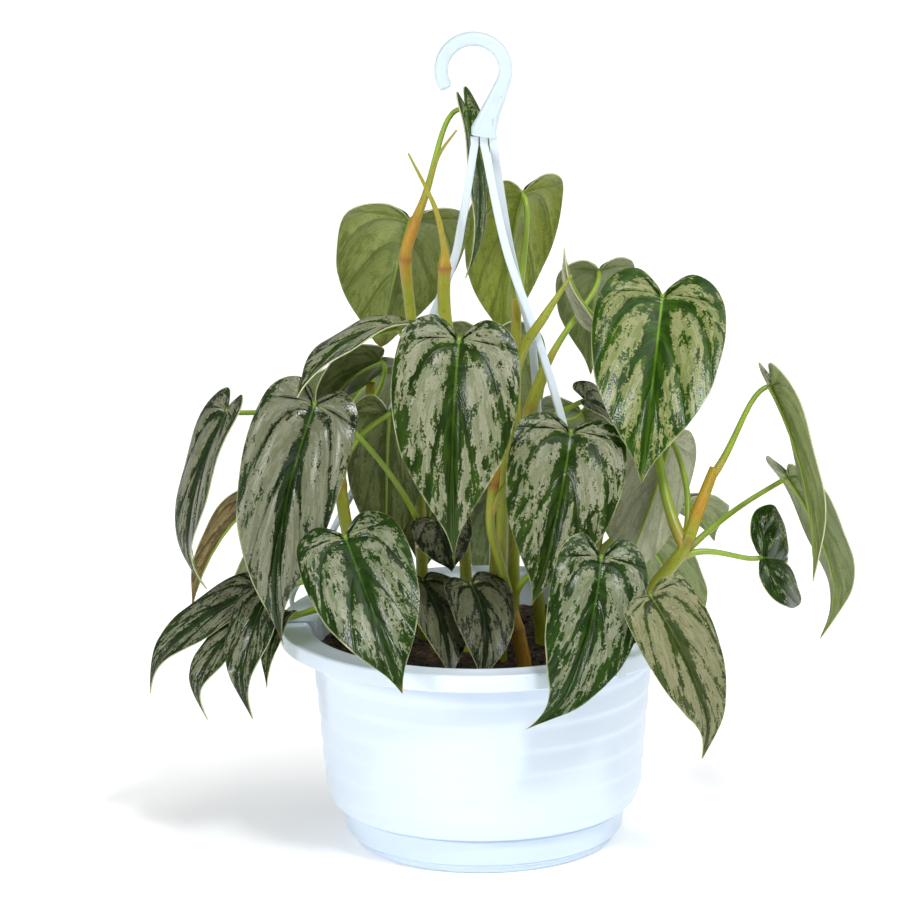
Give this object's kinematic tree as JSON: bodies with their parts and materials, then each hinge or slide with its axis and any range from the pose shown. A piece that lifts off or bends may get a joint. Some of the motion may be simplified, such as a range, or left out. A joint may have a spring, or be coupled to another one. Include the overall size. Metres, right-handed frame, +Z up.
{
  "type": "potted philodendron brandtianum",
  "caption": "Silver-leaved philodendron in a round white hanging pot with a flange, drip saucer and plastic hanger, standing on its saucer.",
  "frame": {"origin": "centre of the drip saucer's flat underside, on the surface that it stands on", "axes": "+Z up along the pot's axis, the pictured front faces -Y, the flat hook lies in the XZ plane"},
  "size_m": [0.3146, 0.214, 0.3644],
  "materials": {
    "saucer_plastic": "white moulded polypropylene, faintly bluer than the pot",
    "hook_plastic": "white moulded polypropylene, satin",
    "hanger_strap_back_plastic": "white moulded polypropylene, satin",
    "hanger_strap_front_plastic": "white moulded polypropylene, satin",
    "hanger_strap_left_plastic": "white moulded polypropylene, satin",
    "leaf_back_centre_green": "leathery blade, silver-grey over dark green, satin",
    "leaf_back_left_green": "leathery blade, silver-grey over dark green, satin",
    "leaf_back_low_green": "leathery blade, silver-grey over dark green, satin",
    "leaf_back_low_left_green": "leathery blade, silver-grey over dark green, satin",
    "leaf_back_low_right_green": "leathery blade, silver-grey over dark green, satin",
    "leaf_back_right_green": "leathery blade, silver-grey over dark green, satin",
    "leaf_behind_right_green": "leathery blade, silver-grey over dark green, satin",
    "leaf_big_left_green": "leathery blade, silver-grey over dark green, satin",
    "leaf_dry_left_green": "leathery blade, silver-grey over dark green, satin",
    "leaf_far_left_green": "leathery blade, silver-grey over dark green, satin",
    "leaf_far_right_high_green": "leathery blade, silver-grey over dark green, satin",
    "leaf_far_right_low_green": "leathery blade, silver-grey over dark green, satin",
    "leaf_far_right_small_green": "leathery blade, silver-grey over dark green, satin",
    "leaf_flat_left_green": "leathery blade, silver-grey over dark green, satin",
    "leaf_front_centre_green": "leathery blade, silver-grey over dark green, satin",
    "leaf_front_right_green": "leathery blade, silver-grey over dark green, satin",
    "leaf_grey_right_green": "leathery blade, silver-grey over dark green, satin",
    "leaf_inner_centre_green": "leathery blade, silver-grey over dark green, satin",
    "leaf_inner_left_green": "leathery blade, silver-grey over dark green, satin",
    "leaf_inner_low_green": "leathery blade, silver-grey over dark green, satin",
    "leaf_low_right_green": "leathery blade, silver-grey over dark green, satin",
    "leaf_low_right_back_green": "leathery blade, silver-grey over dark green, satin",
    "leaf_narrow_right_green": "leathery blade, silver-grey over dark green, satin",
    "leaf_pot_centre_green": "leathery blade, silver-grey over dark green, satin",
    "leaf_pot_left_green": "leathery blade, silver-grey over dark green, satin",
    "leaf_rim_left_green": "leathery blade, silver-grey over dark green, satin",
    "leaf_rim_right_green": "leathery blade, silver-grey over dark green, satin",
    "leaf_rolled_right_green": "leathery blade, silver-grey over dark green, satin",
    "leaf_shaded_left_green": "leathery blade, silver-grey over dark green, satin",
    "leaf_small_left_green": "leathery blade, silver-grey over dark green, satin",
    "leaf_top_centre_green": "leathery blade, silver-grey over dark green, satin",
    "leaf_top_edgewise_green": "leathery blade, silver-grey over dark green, satin",
    "leaf_top_left_green": "leathery blade, silver-grey over dark green, satin",
    "leaf_trailing_left_green": "leathery blade, silver-grey over dark green, satin",
    "leaf_trailing_mid_green": "leathery blade, silver-grey over dark green, satin",
    "leaf_trailing_right_green": "leathery blade, silver-grey over dark green, satin",
    "leaf_upper_right_green": "leathery blade, silver-grey over dark green, satin",
    "pot_plastic": "white moulded polypropylene, satin",
    "soil": "dark damp peat and bark potting mix, matt",
    "stem_back_bark": "yellow-green to orange-brown young stem, satin",
    "stem_back_centre_bark": "yellow-green to orange-brown young stem, satin",
    "stem_centre_front_bark": "yellow-green to orange-brown young stem, satin",
    "stem_left_bark": "yellow-green to orange-brown young stem, satin",
    "stem_left_back_bark": "yellow-green to orange-brown young stem, satin",
    "stem_olive_bark": "yellow-green to orange-brown young stem, satin",
    "stem_right_bark": "yellow-green to orange-brown young stem, satin",
    "stem_right_back_bark": "yellow-green to orange-brown young stem, satin",
    "stem_spear_bark": "yellow-green to orange-brown young stem, satin",
    "stem_tall_left_bark": "yellow-green to orange-brown young stem, satin",
    "stem_tall_right_bark": "yellow-green to orange-brown young stem, satin"
  },
  "bodies": {
    "root": {"drip_saucer": "saucer_plastic", "hanger_hook": "hook_plastic", "hanger_strap_back": "hanger_strap_back_plastic", "hanger_strap_front": "hanger_strap_front_plastic", "hanger_strap_left": "hanger_strap_left_plastic", "leaf_back_centre": "leaf_back_centre_green", "leaf_back_left": "leaf_back_left_green", "leaf_back_low": "leaf_back_low_green", "leaf_back_low_left": "leaf_back_low_left_green", "leaf_back_low_right": "leaf_back_low_right_green", "leaf_back_right": "leaf_back_right_green", "leaf_behind_right": "leaf_behind_right_green", "leaf_big_left": "leaf_big_left_green", "leaf_dry_left": "leaf_dry_left_green", "leaf_far_left": "leaf_far_left_green", "leaf_far_right_high": "leaf_far_right_high_green", "leaf_far_right_low": "leaf_far_right_low_green", "leaf_far_right_small": "leaf_far_right_small_green", "leaf_flat_left": "leaf_flat_left_green", "leaf_front_centre": "leaf_front_centre_green", "leaf_front_right": "leaf_front_right_green", "leaf_grey_right": "leaf_grey_right_green", "leaf_inner_centre": "leaf_inner_centre_green", "leaf_inner_left": "leaf_inner_left_green", "leaf_inner_low": "leaf_inner_low_green", "leaf_low_right": "leaf_low_right_green", "leaf_low_right_back": "leaf_low_right_back_green", "leaf_narrow_right": "leaf_narrow_right_green", "leaf_pot_centre": "leaf_pot_centre_green", "leaf_pot_left": "leaf_pot_left_green", "leaf_rim_left": "leaf_rim_left_green", "leaf_rim_right": "leaf_rim_right_green", "leaf_rolled_right": "leaf_rolled_right_green", "leaf_shaded_left": "leaf_shaded_left_green", "leaf_small_left": "leaf_small_left_green", "leaf_top_centre": "leaf_top_centre_green", "leaf_top_edgewise": "leaf_top_edgewise_green", "leaf_top_left": "leaf_top_left_green", "leaf_trailing_left": "leaf_trailing_left_green", "leaf_trailing_mid": "leaf_trailing_mid_green", "leaf_trailing_right": "leaf_trailing_right_green", "leaf_upper_right": "leaf_upper_right_green", "pot": "pot_plastic", "soil": "soil", "stem_back": "stem_back_bark", "stem_back_centre": "stem_back_centre_bark", "stem_centre_front": "stem_centre_front_bark", "stem_left": "stem_left_bark", "stem_left_back": "stem_left_back_bark", "stem_olive": "stem_olive_bark", "stem_right": "stem_right_bark", "stem_right_back": "stem_right_back_bark", "stem_spear": "stem_spear_bark", "stem_tall_left": "stem_tall_left_bark", "stem_tall_right": "stem_tall_right_bark"}
  },
  "joints": []
}
